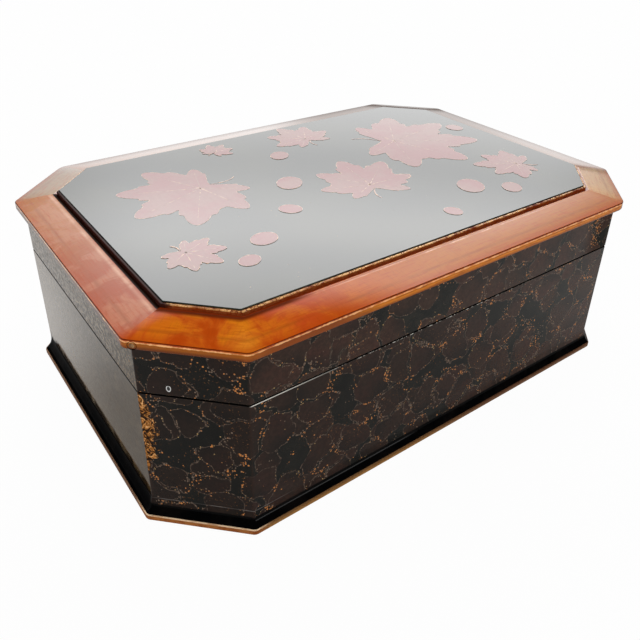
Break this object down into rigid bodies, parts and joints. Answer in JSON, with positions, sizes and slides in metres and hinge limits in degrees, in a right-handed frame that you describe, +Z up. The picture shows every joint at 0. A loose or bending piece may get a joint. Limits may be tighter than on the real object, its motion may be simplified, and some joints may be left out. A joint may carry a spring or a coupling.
{
  "type": "tea ceremony box",
  "caption": "Long octagonal lacquered wooden box on a coved plinth, with a lift-off lid that has a raised panel in a sloped frame, and a lift-out tray inside.",
  "frame": {"origin": "centre of the footprint, on the surface that the box stands on", "axes": "+X along the length of the box, +Y towards its back, +Z up"},
  "size_m": [0.308, 0.216, 0.1023],
  "materials": {
    "patterned_lacquer": "polished black lacquer with soft brown leaf shapes outlined in fine gold dots",
    "plinth_lacquer": "polished black lacquer with a worn gilt foot edge",
    "amber_lacquer": "polished translucent amber and red-brown lacquer, rubbed lighter at the edges",
    "panel_lacquer": "polished green-black lacquer with faded red painted leaves edged in gold",
    "gilt_bead": "gilt over red ground, finely cracked",
    "inside_lacquer": "satin red-brown lacquer with fine gold sprinkling",
    "tray_lacquer": "satin black lacquer with fine gold sprinkling"
  },
  "bodies": {
    "base": {"base_floor": "inside_lacquer", "plinth_front": "plinth_lacquer", "plinth_front_right": "plinth_lacquer", "plinth_right": "plinth_lacquer", "plinth_back_right": "plinth_lacquer", "plinth_back": "plinth_lacquer", "plinth_back_left": "plinth_lacquer", "plinth_left": "plinth_lacquer", "plinth_front_left": "plinth_lacquer", "base_wall_front": "patterned_lacquer", "base_wall_front_right": "patterned_lacquer", "base_wall_right": "patterned_lacquer", "base_wall_back_right": "patterned_lacquer", "base_wall_back": "patterned_lacquer", "base_wall_back_left": "patterned_lacquer", "base_wall_left": "patterned_lacquer", "base_wall_front_left": "patterned_lacquer", "lining_front": "inside_lacquer", "lining_front_right": "inside_lacquer", "lining_right": "inside_lacquer", "lining_back_right": "inside_lacquer", "lining_back": "inside_lacquer", "lining_back_left": "inside_lacquer", "lining_left": "inside_lacquer", "lining_front_left": "inside_lacquer", "tray_batten_front": "inside_lacquer", "tray_batten_right": "inside_lacquer", "tray_batten_back": "inside_lacquer", "tray_batten_left": "inside_lacquer"},
    "lid": {"lid_wall_front": "patterned_lacquer", "lid_wall_front_right": "patterned_lacquer", "lid_wall_right": "patterned_lacquer", "lid_wall_back_right": "patterned_lacquer", "lid_wall_back": "patterned_lacquer", "lid_wall_back_left": "patterned_lacquer", "lid_wall_left": "patterned_lacquer", "lid_wall_front_left": "patterned_lacquer", "lid_frame_front": "amber_lacquer", "lid_frame_front_right": "amber_lacquer", "lid_frame_right": "amber_lacquer", "lid_frame_back_right": "amber_lacquer", "lid_frame_back": "amber_lacquer", "lid_frame_back_left": "amber_lacquer", "lid_frame_left": "amber_lacquer", "lid_frame_front_left": "amber_lacquer", "lid_panel": "panel_lacquer", "panel_bead": "gilt_bead"},
    "tray": {"tray_floor": "tray_lacquer", "tray_wall_front": "tray_lacquer", "tray_wall_front_right": "tray_lacquer", "tray_wall_right": "tray_lacquer", "tray_wall_back_right": "tray_lacquer", "tray_wall_back": "tray_lacquer", "tray_wall_back_left": "tray_lacquer", "tray_wall_left": "tray_lacquer", "tray_wall_front_left": "tray_lacquer"}
  },
  "joints": [
    {"name": "lid_lift", "type": "slide", "parent": "base", "child": "lid", "axis": [0, 0, 1], "range_m": [0, 0.12]},
    {"name": "tray_lift", "type": "slide", "parent": "base", "child": "tray", "axis": [0, 0, 1], "range_m": [0, 0.06]}
  ],
  "couplings": [
    {"joint": "tray_lift", "follows": "lid_lift", "ratio": 0.5}
  ]
}
